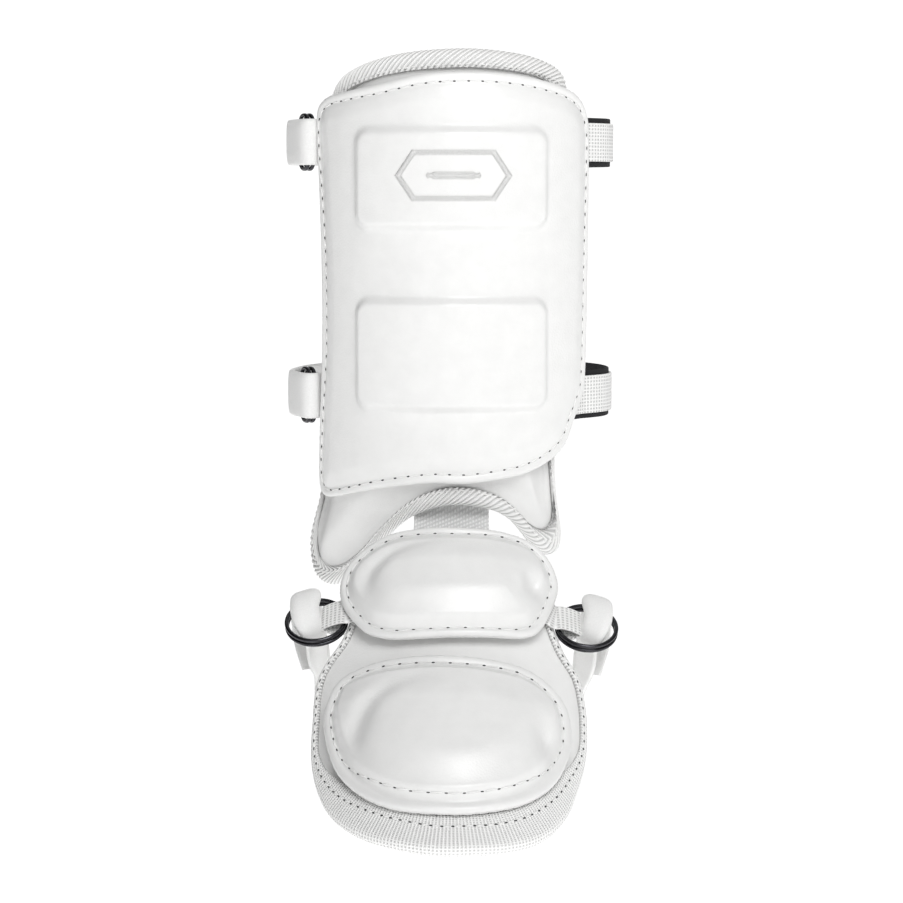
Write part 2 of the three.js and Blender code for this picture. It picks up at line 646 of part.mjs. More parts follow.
const wireRadius = ringWire / 2;
const footRingRadius = (footRingDiameter - ringWire) / 2;
const footSides = {
  left: ringFrame(-1, footRingSinkLeft),
  right: ringFrame(1, footRingSinkRight),
};
for (const [side, frame] of Object.entries(footSides)) {
  for (const [order, number] of [[0, 'inner'], [1, 'outer']]) {
    const basis = new THREE.Matrix4().makeBasis(frame.outward, slopeUp, frame.face)
      .setPosition(frame.at(0, 0, order * ringPitch));
    addPiece(`foot_ring_${side}_${number}`,
      wireRing(basis, footRingDiameter, footRingDiameter, 2), colours.metal, 0.3, 1);
  }

  // The tab comes from under the instep pad, over the rings' inner arcs, and turns back below
  const hand = side === 'left' ? -1 : 1;
  const over = ringPitch + wireRadius + trimGap + webbingThickness / 2;
  const under = -wireRadius - trimGap - webbingThickness / 2;
  const tabLift = baseThickness + trimGap + webbingThickness / 2;
  const overTape = toePadLift + webbingThickness / 2 + trimGap;
  const tabShift = 2.5;
  const ringAlong = (side === 'left' ? 0.29 : 0.302) * footLength;
  const slope = footLine(ringAlong).slope;
  const baseUp = new THREE.Vector3(0, Math.cos(slope), Math.sin(slope));
  const onBase = (share, lift) => ({
    at: onFoot(hand * share * footHalfWidth, ringAlong, lift), side: baseUp,
  });
  const onRing = (inward, lift) => ({
    at: frame.at(-footRingRadius + inward, tabShift, lift), side: slopeUp,
  });
  const tabStations = [
    onBase(0.36, tabLift + 0.2), onBase(0.44, tabLift + 0.5), onBase(0.52, overTape),
    onBase(0.62, overTape), onRing(-1.5, over + 0.4), onRing(2, over + 0.5),
    onRing(6, over - 0.5), onRing(10, over - 2.2), onRing(12, (over + under) / 2),
    onRing(10, under + 1.4), onRing(5, under - 0.2), onRing(1, under - 0.5),
  ];
  addPiece(`foot_ring_tab_${side}`,
    ribbon(tabStations, footTabWidth, webbingThickness, 28), colours.webbing, 0.9);
}

// Foot strap: up through the left rings, over them and down, under the sole, and the same
// at the right
const foldTurn = rad(118);
const foldSpread = 0.6;
function strapSide(frame, hand) {
  const out = Math.sin(foldTurn - Math.PI / 2);
  const rise = Math.cos(foldTurn - Math.PI / 2);
  const side = frame.outward.clone().multiplyScalar(rise).addScaledVector(slopeUp, -out)
    .multiplyScalar(hand);
  const at = (reach, lift, spread = foldSpread) => ({
    at: frame.at(out * reach, rise * reach, lift), side, spread,
  });
  const outside = footRingRadius + wireRadius + trimGap + strapThickness / 2;
  const bore = footRingRadius - wireRadius - trimGap;
  const inside = Math.sqrt(bore ** 2 - (foldSpread * strapWidth / 2) ** 2) - strapThickness / 2;
  const top = ringPitch + wireRadius + trimGap + strapThickness / 2 + 0.6;
  return [
    at(outside + 0.4, -22, 1), at(outside + 0.4, -12, 0.85), at(outside + 0.4, -3), at(outside, 1.5),
    at(outside - 0.6, top - 1), at(footRingRadius, top + 0.6), at(inside + 0.6, top - 1),
    at(inside, 1.5), at(inside, -3), at(inside, -10, 0.8),
  ];
}
const forward = new THREE.Vector3(0, 1, 0);
const soleTop = footLine(footRingShare * footLength);
const solePlaces = [
  [-0.95, -0.6], [-0.87, -0.8], [-0.66, -0.95], [-0.33, -1], [0, -1], [0.33, -1],
  [0.63, -0.95], [0.82, -0.8], [0.9, -0.6],
].map(([out, share]) => ({
  at: new THREE.Vector3(
    out * (footRingOut + 3),
    soleTop.y + 6,
    soleTop.z - soleStart + share * footStrapDrop,
  ),
  side: forward,
}));
const strapStations = [
  ...strapSide(footSides.left, 1),
  ...solePlaces,
  ...strapSide(footSides.right, -1).reverse(),
];
addPiece('foot_strap', ribbon(strapStations, strapWidth, strapThickness, 84),
  colours.webbing, 0.85);

export default guard;
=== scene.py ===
# %% [markdown]
# # A batter's leg guard
# The real guard is sewn from white coated leather, foam, tapes and straps. A padded sheet
# bends round the shin, and a softer tongue covers the instep and the toes. This lesson
# builds each sewn piece over its CAD solid, in the same frame and in metres, and then
# paints and lights it like a product on white paper.

# %% Loading the frame
import math
import random

import bmesh
import bpy
from mathutils import Matrix, Vector, noise
from mathutils.kdtree import KDTree


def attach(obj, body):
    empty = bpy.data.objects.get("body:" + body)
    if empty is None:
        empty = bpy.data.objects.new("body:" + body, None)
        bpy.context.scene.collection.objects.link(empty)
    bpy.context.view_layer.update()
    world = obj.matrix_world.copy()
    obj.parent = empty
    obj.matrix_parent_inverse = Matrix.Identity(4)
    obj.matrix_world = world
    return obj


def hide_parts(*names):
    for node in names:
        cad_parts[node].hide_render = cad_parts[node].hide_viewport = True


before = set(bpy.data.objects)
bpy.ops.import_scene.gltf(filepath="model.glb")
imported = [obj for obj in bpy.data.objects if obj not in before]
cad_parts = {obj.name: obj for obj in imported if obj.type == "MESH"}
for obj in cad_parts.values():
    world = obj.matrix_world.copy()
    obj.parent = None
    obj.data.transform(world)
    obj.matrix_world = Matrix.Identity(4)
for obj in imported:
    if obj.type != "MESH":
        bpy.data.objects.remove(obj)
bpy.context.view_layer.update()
random.seed(11)
mm = 0.001
gap = 0.35  # the clearance in millimetres that touching pieces keep
up, across_axis, forward_axis = Vector((0, 0, 1)), Vector((1, 0, 0)), Vector((0, 1, 0))
print("CAD nodes:", len(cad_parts))

# %% [markdown]
# ## Colours and node trees
# Colours on a screen are stored bent, as sRGB. Shaders count light, so each colour goes
# through one function that straightens it. A second function adds a node, fills its
# sockets and links it, which keeps each material down to a few readable lines.

# %% Two helpers for materials
def paint(text):
    parts = [int(text[i:i + 2], 16) / 255 for i in (1, 3, 5)]
    return [c / 12.92 if c <= 0.04045 else ((c + 0.055) / 1.055) ** 2.4 for c in parts] + [1]


def add(tree, kind, settings={}, links={}):
    node = tree.nodes.new(kind)
    for key, value in settings.items():
        if isinstance(key, str) and hasattr(node, key):
            setattr(node, key, value)
        else:
            node.inputs[key].default_value = value
    for key, source in links.items():
        tree.links.new(source, node.inputs[key])
    return node.outputs[0]


def finish(name, dark, light, shade, roughness, bump=None, **surface):
    """A material whose colour runs from dark to light with shade, a socket from 0 to 1."""
    material = bpy.data.materials.new(name)
    material.use_nodes = True
    tree = material.node_tree
    shader = tree.nodes["Principled BSDF"]
    colour = add(tree, "ShaderNodeMixRGB", {"Color1": paint(dark), "Color2": paint(light)},
                 {"Fac": shade(tree)})
    tree.links.new(colour, shader.inputs["Base Color"])
    shader.inputs["Roughness"].default_value = roughness
    for key, value in surface.items():
        shader.inputs[key.replace("_", " ")].default_value = value
    if bump:
        height, distance = bump
        normal = add(tree, "ShaderNodeBump", {"Distance": distance * mm},
                     {"Height": height(tree)})
        tree.links.new(normal, shader.inputs["Normal"])
    return material


def math_node(tree, operation, *values):
    settings, links = {"operation": operation}, {}
    for number, value in enumerate(values):
        if isinstance(value, (int, float)):
            settings[number] = value
        else:
            links[number] = value
    return add(tree, "ShaderNodeMath", settings, links)


print("helpers ready")

# %% [markdown]
# ## Patterns in real sizes
# Leather has a pebble of about a millimetre and soft patches. Cloth patterns are counted
# in millimetres along and across each tape, which are stored in its own UV map. So a rib
# is as wide as on the real tape, however long the strap is.

# %% Pattern functions
def speckle(size, detail=3.0):
    """Noise in object coordinates, with features of about this size in millimetres."""
    def height(tree):
        place = add(tree, "ShaderNodeTexCoord").node.outputs["Object"]
        return add(tree, "ShaderNodeTexNoise", {"Scale": 1 / (size * mm), "Detail": detail},
                   {"Vector": place})
    return height


def pebble(size):
    """The rounded grain pressed into coated leather."""
    def height(tree):
        place = add(tree, "ShaderNodeTexCoord").node.outputs["Object"]
        return add(tree, "ShaderNodeTexVoronoi", {"Scale": 1 / (size * mm), "feature": "F1"},
                   {"Vector": place})
    return height


def cloth_place(tree):
    place = add(tree, "ShaderNodeUVMap", {"uv_map": "cloth"})
    parts = add(tree, "ShaderNodeSeparateXYZ", {}, {"Vector": place}).node
    return parts.outputs["X"], parts.outputs["Y"]


def wave(tree, value, pitch):
    """0 to 1 and back, once in each pitch."""
    turn = math_node(tree, "SINE", math_node(tree, "MULTIPLY", value, 2 * math.pi / pitch))
    return math_node(tree, "MULTIPLY_ADD", turn, 0.5, 0.5)


def weave_relief_and_gap_shade(along_pitch, across_pitch, open_share=0.5):
    """A plain or mesh weave: high where two yarns cross and low between them. As a colour it is
    bright on the crossings and paints shade into the low gaps.
    """
    def height(tree):
        along, across = cloth_place(tree)
        crossed = math_node(tree, "MAXIMUM", wave(tree, along, along_pitch),
                            wave(tree, across, across_pitch))
        return math_node(tree, "POWER", crossed, open_share)
    return height


def beaded(pitch, slope, bead):
    """Slanted cords with beads along them, as on wide elastic."""
    def height(tree):
        along, across = cloth_place(tree)
        slant = math_node(tree, "MULTIPLY_ADD", across, slope, along)
        return math_node(tree, "MULTIPLY", wave(tree, slant, pitch),
                         math_node(tree, "POWER", wave(tree, across, bead), 0.4))
    return height


def rib_valley_shade(pitch):
    """Painted shade: dark in the valleys between straight cords across the tape, whose mesh
    already slants them.
    """
    def height(tree):
        return math_node(tree, "POWER", wave(tree, cloth_place(tree)[0], pitch), 0.6)
    return height


print("patterns ready")

# %% [markdown]
# ## The finishes
# Nearly everything is white, so the pieces are told apart by how they catch light. Coated
# leather is sealed with polyurethane and has a satin gloss. Tapes, webbing and napped
# straps are woven nylon and stay matt. The lining is black loop fabric, and the rings are
# drawn steel wire with a dark nickel plating.

# %% Materials
leather = finish("coated_leather", "#E9E9E8", "#F3F3F2", speckle(9), 0.34,
                 (pebble(1.1), 0.06), Coat_Weight=0.25, Coat_Roughness=0.3)
base_leather = finish("base_leather", "#EFEFEE", "#F8F8F7", speckle(12), 0.45,
                      (pebble(1.3), 0.05))
facing = finish("pad_facing", "#E4E4E3", "#F0F0EF", speckle(14), 0.62,
                (speckle(0.7), 0.12))
# Painted shade: the tape's darker colour lies in the valleys between its ribs.
tape = finish("twill_tape", "#C6C6C5", "#FCFCFB", rib_valley_shade(3.5), 0.85,
              (speckle(0.35), 0.15))
# Painted shade: canvas and webbing are darker in the gaps between their yarns.
canvas = finish("canvas_tape", "#DBDBDA", "#FEFEFD", weave_relief_and_gap_shade(1.9, 1.7), 0.85,
                (weave_relief_and_gap_shade(1.9, 1.7), 0.6))
mesh_webbing = finish("mesh_webbing", "#C2C2C1", "#F8F8F7", weave_relief_and_gap_shade(2.3, 1.85, 0.8), 0.8,
                      (weave_relief_and_gap_shade(2.3, 1.85), 0.5))
napped = finish("napped_strap", "#E8E8E7", "#FAFAF9", speckle(0.6), 0.95,
                (speckle(0.45), 0.25), Sheen_Weight=0.25)
lining = finish("loop_lining", "#08080A", "#2A2A2D", speckle(0.5), 0.95,
                (speckle(0.4), 0.3))
elastic = finish("herringbone_elastic", "#DCDCDC", "#FFFFFF", beaded(3.3, 0.62, 1.6), 0.85,
                 (beaded(3.3, 0.62, 1.6), 0.3))
thread = finish("sewing_thread", "#E2E2E1", "#FBFBFA", speckle(0.4), 0.7,
                (speckle(0.3), 0.08))
satin_thread = finish("satin_thread", "#C9C9C8", "#EDEDEC", speckle(0.5), 0.45,
                      (speckle(0.3), 0.05))
# Painted shade: a dark grey that stands for the shade inside the needle holes.
stitch_gap_shade = finish("painted_stitch_gap_shade", "#262626", "#555555", speckle(0.6), 0.9)
wire = finish("ring_wire", "#2C2C2E", "#525256", speckle(2), 0.16,
              (speckle(0.8), 0.01), Metallic=1.0)
print("materials:", len(bpy.data.materials))

# %% [markdown]
# ## Two bent surfaces to build on
# The shin pieces lie round the leg like a sleeve cut open. The foot pieces lie on a
# tongue that slopes down and arches over the foot. Each surface is a function: it takes
# a place on the flat pattern and a height above the lining, and gives the point in space.
# A tailor's flat pattern can then be drawn first and bent afterwards.

# %% Places on the shin and on the foot
shin_inner = 68.0
shin_outer = 80.0
foot_length = 218.0
foot_crown = 95.0
foot_slopes = (math.radians(50), math.radians(38))
slope_change = (foot_slopes[1] - foot_slopes[0]) / foot_length


def smoothstep(value, low, high):
    t = min(max((value - low) / (high - low), 0), 1)
    return t * t * (3 - 2 * t)


def flare(across, height):
    """The pad's lower corners stand off the ankle by up to 5 mm."""
    return (5 * smoothstep(-height, 98.4, 130.2)
            * smoothstep(abs(across), 40, 88))


def on_shin(across, height, lift):
    turn = across / shin_outer
    radius = shin_inner + lift + flare(across, height)
    return Vector((radius * math.sin(turn), shin_inner - radius * math.cos(turn), height))


def foot_line(along):
    slope = foot_slopes[0] + slope_change * along
    forward = (math.sin(slope) - math.sin(foot_slopes[0])) / slope_change
    down = (math.cos(foot_slopes[0]) - math.cos(slope)) / slope_change
    return -4 - forward, -100 - down, slope


def on_foot(across, along, lift):
    y, z, slope = foot_line(along)
    turn = across / foot_crown
    radius = foot_crown + lift
    rise = radius * math.cos(turn) - foot_crown
    return Vector((radius * math.sin(turn), y - rise * math.sin(slope),
                   z + rise * math.cos(slope)))


print("top of the shin:", on_shin(0, 135.5, 12), "toe:", on_foot(0, foot_length, 4))

# %% [markdown]
# ## Smooth lines through a few points
# An outline is drawn as a short table of points, the way a pattern maker marks a card. A
# Catmull-Rom curve passes through all of them without overshooting. It is then walked in
# even steps, because even steps give even faces.

# %% Curves
def curve_through(points, closed, per=24):
    """Points of a centripetal Catmull-Rom curve through the given ones."""
    count = len(points)
    made = []
    for i in range(count if closed else count - 1):
        p1, p2 = points[i], points[(i + 1) % count]
        p0 = points[i - 1] if closed or i > 0 else 2 * p1 - p2
        p3 = points[(i + 2) % count] if closed or i < count - 2 else 2 * p2 - p1
        steps = [max((b - a).length, 1e-9) ** 0.5 for a, b in ((p0, p1), (p1, p2), (p2, p3))]
        start = (p1 - p0) / steps[0] - (p2 - p0) / (steps[0] + steps[1])
        start = (start + (p2 - p1) / steps[1]) * steps[1]
        end = (p2 - p1) / steps[1] - (p3 - p1) / (steps[1] + steps[2])
        end = (end + (p3 - p2) / steps[2]) * steps[1]
        for k in range(per):
            t = k / per
            made.append(p1 + start * t + (3 * (p2 - p1) - 2 * start - end) * t ** 2
                        + (2 * (p1 - p2) + start + end) * t ** 3)
    if not closed:
        made.append(points[-1].copy())
    return made


class Walk:
    """A line that is asked for its point at a distance from its start."""

    def __init__(self, points, closed):
        self.points = points + [points[0]] if closed else points
        self.closed = closed
        self.reach = [0.0]
        for a, b in zip(self.points, self.points[1:]):
            self.reach.append(self.reach[-1] + (b - a).length)
        self.length = self.reach[-1]

    def at(self, distance):
        distance = distance % self.length if self.closed else distance
        low, high = 0, len(self.reach) - 1
        while high - low > 1:
            half = (low + high) // 2
            low, high = (half, high) if self.reach[half] <= distance else (low, half)
        span = self.reach[high] - self.reach[low]
        share = (distance - self.reach[low]) / span if span else 0
        return self.points[low].lerp(self.points[high], min(max(share, 0), 1))


def outline(rows, half_width, up_size, down_size, middle=0.0):
    """The closed outline of a piece, from shares of its half width and of its height."""
    marks = [Vector((x * half_width, middle + y * (up_size if y > 0 else down_size)))
             for x, y in rows]
    return Walk(curve_through(marks, True), True)


print("curves ready")

# %% [markdown]
# ## The outlines of the five cut pieces
# These are the cutting patterns, flat. The first number of a row is a share of the half
# width, and the second a share of the height above or below the middle.

# %% Pattern tables
shin_half, base_half = 80, 75
instep_middle, instep_half, instep_reach = 60, 52.3, 34
toe_middle, toe_half, toe_reach = 151, 60.5, 47.8
shin_line = outline([
    (-1.2, -.66), (-1.26, -.87), (-1.25, -.96), (-1.17, -1.02), (-1, -1.04), (-.84, -1.01),
    (-.71, -.95), (-.53, -.853), (-.28, -.754), (0, -.713), (.30, -.734), (.45, -.774),
    (.57, -.83), (.67, -.885), (.76, -.915), (.83, -.9), (.86, -.85), (.83, -.594),
    (.86, -.28), (.94, .1), (.93, .55), (.95, .84), (.91, .915), (.70, .965), (.22, 1),
    (-.24, .993), (-.51, .971), (-.74, .938), (-.9, .9), (-1, .84), (-1.03, .74),
    (-1.01, .37), (-1.02, 0), (-1.08, -.35)], shin_half, 135.5, 144.7)
cover_line = outline([
    (-1.01, -.7), (-1.018, -.9), (-1, -.965), (-.95, -.998), (-.86, -.997), (-.47, -.93),
    (-.13, -.893), (.08, -.896), (.28, -.88), (.47, -.855), (.64, -.806), (.77, -.744),
    (.83, -.694), (.9, -.587), (.96, -.51), (1.01, -.433), (1.03, -.3), (1.045, .01),
    (1.055, .3), (1.06, .65), (1.05, .8), (.99, .872), (.89, .92), (.57, .975),
    (.28, .998), (-.04, .999), (-.2, .989), (-.49, .95), (-.75, .923), (-.91, .902),
    (-1, .864), (-1.025, .8), (-1.005, .6), (-.975, .25), (-.97, -.18)], shin_half, 123, 101)
instep_line = outline([
    (-1.03, -.21), (-.97, -.52), (-.79, -.79), (-.55, -.96), (-.26, -1), (.05, -.995),
    (.49, -.97), (.75, -.85), (.91, -.59), (.98, -.21), (.94, .1), (.82, .6), (.745, .77),
    (.62, .885), (.38, .95), (.01, .99), (-.31, .985), (-.53, .938), (-.725, .78),
    (-.84, .58), (-.99, .15)], instep_half, instep_reach, instep_reach, instep_middle)
toe_line = outline([
    (-1.03, -.36), (-1.02, -.62), (-.91, -.89), (-.64, -.99), (-.3, -1), (0, -.985),
    (.34, -.955), (.6, -.9), (.79, -.76), (.92, -.55), (.955, -.2), (.9, .14), (.77, .49),
    (.57, .76), (.38, .9), (.08, 1), (-.29, .95), (-.5, .83), (-.71, .6), (-.9, .24)],
    toe_half, toe_reach, toe_reach, toe_middle)
base_line = outline([
    (-.76, .353), (-.97, .44), (-1.01, .56), (-1.005, .66), (-.945, .748), (-.805, .845),
    (-.57, .928), (-.335, .975), (-.11, .999), (.08, 1), (.33, .984), (.55, .943),
    (.75, .86), (.88, .752), (.955, .66), (.975, .573), (.965, .513), (.92, .45),
    (.79, .391), (.69, .31), (.65, .22), (.54, .16), (.3, .13), (0, .125), (-.3, .13),
    (-.54, .16), (-.65, .22), (-.69, .29)], base_half, foot_length, foot_length)
for name, line in (("shin", shin_line), ("cover", cover_line), ("base", base_line)):
    print(name, "outline is", round(line.length), "mm round")

# %% [markdown]
# ## From a flat grid to a padded shape
# `create_grid` gives a plain sheet of quads. Its columns are sent round the outline, and
# its rows run from the middle of the face, over the edge, to the middle of the back. The
# seam and both middles close when double points are merged. A face function says how
# thick the piece is at each place, so foam, panels and creases all come from one idea.

# %% Making padded pieces
def make_object(name, bm, material, nodes):
    """Closes a mesh, turns its faces outwards and ties it to the frame."""
    bmesh.ops.remove_doubles(bm, verts=bm.verts, dist=0.00001)
    bmesh.ops.dissolve_degenerate(bm, dist=0.000004, edges=bm.edges)
    bmesh.ops.recalc_face_normals(bm, faces=bm.faces)
    mesh = bpy.data.meshes.new(name)
    bm.to_mesh(mesh)
    bm.free()
    mesh.shade_smooth()
    mesh.materials.append(material)
    piece = bpy.data.objects.new(name, mesh)
    bpy.context.scene.collection.objects.link(piece)
    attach(piece, "root")
    if nodes:
        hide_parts(*nodes)
    print(name, len(mesh.polygons), "faces")
    return piece


def grid(columns, rows, place):
    """A sheet of quads, with each corner moved to place(column, row) in millimetres."""
    bm = bmesh.new()
    layer = bm.loops.layers.uv.new("cloth")
    bmesh.ops.create_grid(bm, x_segments=columns, y_segments=rows, size=0.5)
    cloth = {}
    for vert in bm.verts:
        column = round((vert.co.x + 0.5) * columns)
        row = round((vert.co.y + 0.5) * rows)
        point, cloth[vert.index] = place(column, row)
        vert.co = point * mm
    for face in bm.faces:
        for loop in face.loops:
            loop[layer].uv = cloth[loop.vert.index]
    return bm


def edge_finder(line, step=0.7):
    count = int(line.length / step)
    tree = KDTree(count)
    for i in range(count):
        tree.insert(line.at(i * step).to_3d(), i)
    tree.balance()
    return lambda point: tree.find(point.to_3d())[2]


edge_insets = [9, 7.6, 6.4, 5.3, 4.4, 3.6, 2.9, 2.3, 1.8, 1.35, 0.95, 0.62, 0.36, 0.16, 0.04, 0]


def padded_shell(place, line, middle, face, back, columns, face_rows, back_rows=10):
    """face and back give the height over the lining from (across, along, edge distance)."""
    centre = Vector((0, middle))
    marks = [line.at(i * line.length / columns) for i in range(columns)]
    rows = [(k / face_rows, edge_insets[0], face) for k in range(face_rows)]
    rows += [(1, inset, face) for inset in edge_insets]
    rows += [(1, inset, back) for inset in reversed(edge_insets[:-1])]
    rows += [(1 - (k + 1) / back_rows, edge_insets[0], back) for k in range(back_rows)]
    near = edge_finder(line)

    def corner(column, row):
        mark = marks[column % columns]
        share, inset, height = rows[row]
        spoke = mark - centre
        point = centre + spoke * (share * (1 - inset / spoke.length))
        edge = 0.0 if inset == 0 else near(point)
        return place(point.x, point.y, height(point.x, point.y, edge)), point

    return grid(columns, len(rows) - 1, corner)


def rounded(edge, radius):
    """How far up a round edge is, from 0 at its very edge to 1."""
    if edge >= radius:
        return 1.0
    return math.sqrt(max(0.0, 1 - (1 - edge / radius) ** 2))


def groove(edge, inset, depth, width=1.3):
    """The line where stitches pull the face down."""
    return -depth * math.exp(-((edge - inset) / width) ** 2)


def unevenness(across, along, size, amount):
    return amount * noise.noise(Vector((across / size, along / size, 3.7)))


print("padded shells ready")

# %% [markdown]
# ## The shin pad
# The pad is a foam sheet between two faces of brushed cloth. It is 12 mm thick in the
# middle and pressed thin along the rim, where the tape is sewn round it. Most of its front
# hides under the cover, so its grid is coarser than the cover's.

# %% Shin pad
def pad_face(across, along, edge):
    body = 3.5 + 3.5 * rounded(edge - 1.75, 3.5) if edge > 1.75 else 3.5
    return body + 5 * smoothstep(edge, 11, 26) + groove(edge, 8.6, 0.35)


def pad_back(across, along, edge):
    return 3.5 - 3.5 * rounded(max(edge - 1.75, 0), 3.5)


shin_pad = make_object(
    "shin_pad_foam",
    padded_shell(on_shin, shin_line, 0, pad_face, pad_back, 360, 46, 14),
    facing, ["shin_pad"])

# %% [markdown]
# ## The shin cover
# The cover is a stiff shell, wrapped in leather whose edge is turned under and sewn down.
# Two panels are pressed up from behind. Their walls are soft because leather bridges the
# corner, so each wall is a smooth step about 5 mm wide.

# %% Shin cover
cover_lift = 12.9
panels = [(68.5, 27.0), (-23.0, 30.0)]
panel_half, panel_corner, panel_rise = 49.8, 9.0, 3.5


def panel_height(across, along):
    height = 0.0
    for middle, half in panels:
        out = Vector((max(abs(across) - panel_half + panel_corner, 0),
                      max(abs(along - middle) - half + panel_corner, 0)))
        inside = panel_corner - out.length
        if out.length == 0:
            inside = panel_corner + min(panel_half - panel_corner - abs(across),
                                        half - panel_corner - abs(along - middle))
        height = max(height, smoothstep(inside, -0.8, 4.2))
    return height * panel_rise


def cover_face(across, along, edge):
    low, high = cover_lift + 1.9, cover_lift + 3.8
    body = low + (high - low) * rounded(edge, 1.9)
    swell = 1.7 * smoothstep(edge, 3, 14)
    return (body + swell + panel_height(across, along) + groove(edge, 4.8, 0.7)
            + unevenness(across, along, 38, 0.35) * smoothstep(edge, 4, 14))


def cover_back(across, along, edge):
    return cover_lift + 1.9 * (1 - rounded(edge, 1.9))


cover = make_object(
    "shin_cover_leather",
    padded_shell(on_shin, cover_line, 0, cover_face, cover_back, 420, 96, 8),
    leather, ["shin_cover"])

# %% [markdown]
# ## The foot base and its two pads
# The foot part is one leather tongue with two foam pads sewn on. A pad has a flat sewn
# margin, and from there the foam swells to about 9 mm. The leather creases at the left and
# right of each dome, where it was pulled over the foam.

# %% Foot base, instep pad and toe pad
base_middle = 0.58 * foot_length


def base_face(across, along, edge):
    return 2 + 2 * rounded(max(edge - 1.75, 0), 2) + unevenness(across, along, 30, 0.25)


def base_back(across, along, edge):
    return 2 - 2 * rounded(max(edge - 1.75, 0), 2)


base = make_object(
    "foot_base_leather",
    padded_shell(on_foot, base_line, base_middle, base_face, base_back, 300, 40, 10),
    base_leather, ["foot_base"])

domes = {
    "instep": dict(lift=9.15, middle=instep_middle, margin=7.0, wall=19.0, rise=9.0,
                   half=(instep_half, instep_reach)),
    "toe": dict(lift=6.1, middle=toe_middle, margin=8.0, wall=24.0, rise=9.0,
                half=(toe_half, toe_reach)),
}


def dome_face(lift, middle, margin, wall, rise, half):
    def crease(right, high):
        """Two soft folds in the leather, a long one at the left and a short one opposite."""
        ring = math.exp(-((math.hypot(right, high) - 0.7) / 0.1) ** 2)
        turn = math.degrees(math.atan2(high, right))
        from_left = (turn - 158 + 180) % 360 - 180
        return ring * (3.9 * math.exp(-(from_left / 36) ** 2)
                       + 4.8 * math.exp(-(turn / 17) ** 2))

    def face(across, along, edge):
        rim = lift + 2.5 + 2.5 * rounded(edge, 2.5)
        low = smoothstep(edge, margin - 2, margin + 4)
        high = smoothstep(edge, margin, margin + wall)
        return (rim + rise * (0.45 * low + 0.55 * high) + groove(edge, margin - 2.6, 0.8)
                - crease(across / half[0], (middle - along) / half[1])
                + unevenness(across, along, 24, 0.5) * smoothstep(edge, margin, margin + 6))
    return face


def flat_back(lift, half):
    return lambda across, along, edge: lift + half * (1 - rounded(edge, half))


for name, line in (("instep", instep_line), ("toe", toe_line)):
    shape = domes[name]
    make_object(
        name + "_pad_leather",
        padded_shell(on_foot, line, shape["middle"], dome_face(**shape),
                     flat_back(shape["lift"], 2.5), 280, 64, 6),
        leather, [name + "_pad"])

# %% [markdown]
# ## Edge tapes with real ribs
# Twill tape is folded over the raw edges. Its ribs run at a slant and turn back at the
# fold, which makes a chevron. The grid's columns are slanted the same way, so seven
# columns make one rib and the mesh stays light.

# %% Tapes
tape_thick = 1.4


def tape_section(width, edge):
    """(inset, height, distance from the chevron, is outside) from the front hem round."""
    half = edge / 2 + gap + tape_thick
    middle, turned = edge / 2, 0.55 * edge
    marks = []
    steps = max(int((width - half) / 1.6), 2)
    for k in range(steps + 1):
        inset = width + (half - width) * k / steps
        marks.append((inset, middle + half, inset - half + half * math.pi / 2 + turned, 1))
    for k in range(1, 12):
        turn = math.pi / 2 - math.pi * k / 12
        marks.append((half - half * math.cos(turn), middle + half * math.sin(turn),
                      abs(half * turn + turned), 1))
    for k in range(steps + 1):
        inset = half + (width - half) * k / steps
        marks.append((inset, middle - half, inset - half + half * math.pi / 2 - turned, 1))
    inner = half - tape_thick
    marks.append((width, middle - inner, 0, 0))
    for k in range(0, 7):
        turn = -math.pi / 2 + math.pi * k / 6
        marks.append((half - inner * math.cos(turn), middle + inner * math.sin(turn), 0, 0))
    marks.append((width, middle + inner, 0, 0))
    return marks + [marks[0]]


def tape_round(place, line, middle, section, pitch, relief, slant, stretch, spacing=0.5):
    columns = round(round(line.length / pitch) * pitch / spacing)
    step = line.length / columns
    rib = line.length / round(line.length / pitch)
    centre = Vector((0, middle))

    def corner(column, row):
        inset, height, across, outside = section[row]
        start = line.at(column * step)
        wide = 1 + (stretch(start.y) - 1) * smoothstep(inset, 3, 6)
        mark = line.at(column * step + slant * across * outside)
        spoke = mark - centre
        point = mark - spoke.normalized() * inset * wide
        bump = relief * math.cos(2 * math.pi * column * step / rib) * outside
        direction = -1 if height < section[0][1] / 2 and inset > 3 else 1
        lift = height + direction * bump
        # The quarter pitch puts the tape's painted shade into the ribs' valleys.
        cloth = Vector((pitch * (column * step / rib + 0.25), across * wide))
        return place(point.x, point.y, lift), cloth

    return grid(columns, len(section) - 1, corner)


shin_binding = make_object(
    "shin_binding_tape",
    tape_round(on_shin, shin_line, 0, tape_section(10, 7), 3.5, 0.5, 1.25,
               lambda along: 1),
    tape, ["shin_pad_binding"])


def toe_stretch(along):
    return 1 + (25 / 6 - 1) * smoothstep(along, 0.62 * foot_length, foot_length)


foot_binding = make_object(
    "foot_binding_tape",
    tape_round(on_foot, base_line, base_middle, tape_section(6, 4), 1.9, 0.06, 0,
               toe_stretch),
    canvas, ["foot_base_binding"])

# %% [markdown]
# ## Straps and bands
# A strap is a rounded strip swept along a line through a few stations. Each station has a
# place and the direction of the strap's width. The soft ends fold round the rings, so the
# stations lie close together there.

